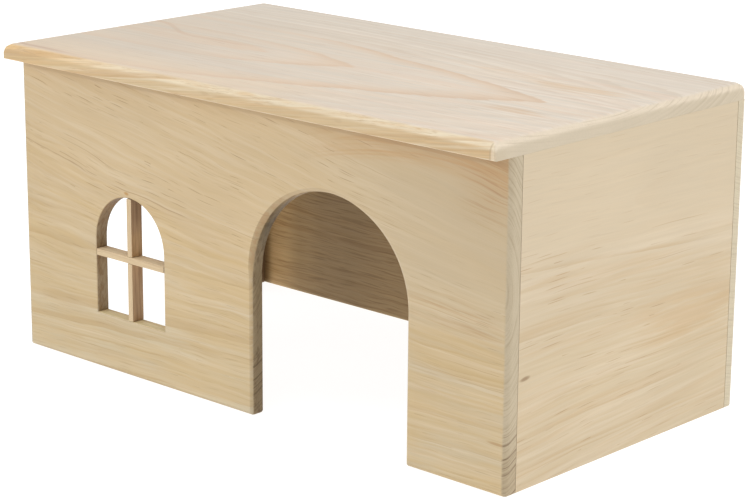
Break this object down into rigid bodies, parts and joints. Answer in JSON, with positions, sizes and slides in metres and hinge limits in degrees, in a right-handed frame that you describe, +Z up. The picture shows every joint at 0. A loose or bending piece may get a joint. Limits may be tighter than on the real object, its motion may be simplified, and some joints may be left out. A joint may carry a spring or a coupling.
{
  "type": "rabbit house",
  "caption": "Low wooden house for a rabbit, with a flat overhanging roof, an arched front door, an arched window with crossed slats and an arched side entrance.",
  "frame": {"origin": "middle of the footprint, on the ground under the boards", "axes": "+X to the house's right end as seen from its front, -Y out of the front door, +Z up"},
  "size_m": [0.42, 0.2388, 0.208],
  "materials": {
    "roof_pine": "bare planed pine, pale, with a long cathedral grain",
    "front_pine": "bare planed pine, yellowish, with fine dark flecks along the grain",
    "side_pine": "bare planed pine, with a gently wavy grain",
    "back_pine": "bare planed pine, with a straight grain",
    "slat_pine": "bare sawn pine",
    "dowel_beech": "bare turned beech"
  },
  "bodies": {
    "root": {"roof_board": "roof_pine", "front_panel": "front_pine", "back_panel": "back_pine", "right_side_panel": "side_pine", "left_side_panel": "side_pine", "window_slat_upright": "slat_pine", "window_slat_cross": "slat_pine", "corner_dowel_front_left_1": "dowel_beech", "corner_dowel_front_left_2": "dowel_beech", "corner_dowel_front_left_3": "dowel_beech", "corner_dowel_front_right_1": "dowel_beech", "corner_dowel_front_right_2": "dowel_beech", "corner_dowel_front_right_3": "dowel_beech", "corner_dowel_back_left_1": "dowel_beech", "corner_dowel_back_left_2": "dowel_beech", "corner_dowel_back_left_3": "dowel_beech", "corner_dowel_back_right_1": "dowel_beech", "corner_dowel_back_right_2": "dowel_beech", "corner_dowel_back_right_3": "dowel_beech", "roof_dowel_front_1": "dowel_beech", "roof_dowel_front_2": "dowel_beech", "roof_dowel_front_3": "dowel_beech", "roof_dowel_back_1": "dowel_beech", "roof_dowel_back_2": "dowel_beech", "roof_dowel_back_3": "dowel_beech", "roof_dowel_left": "dowel_beech", "roof_dowel_right": "dowel_beech"}
  },
  "joints": []
}
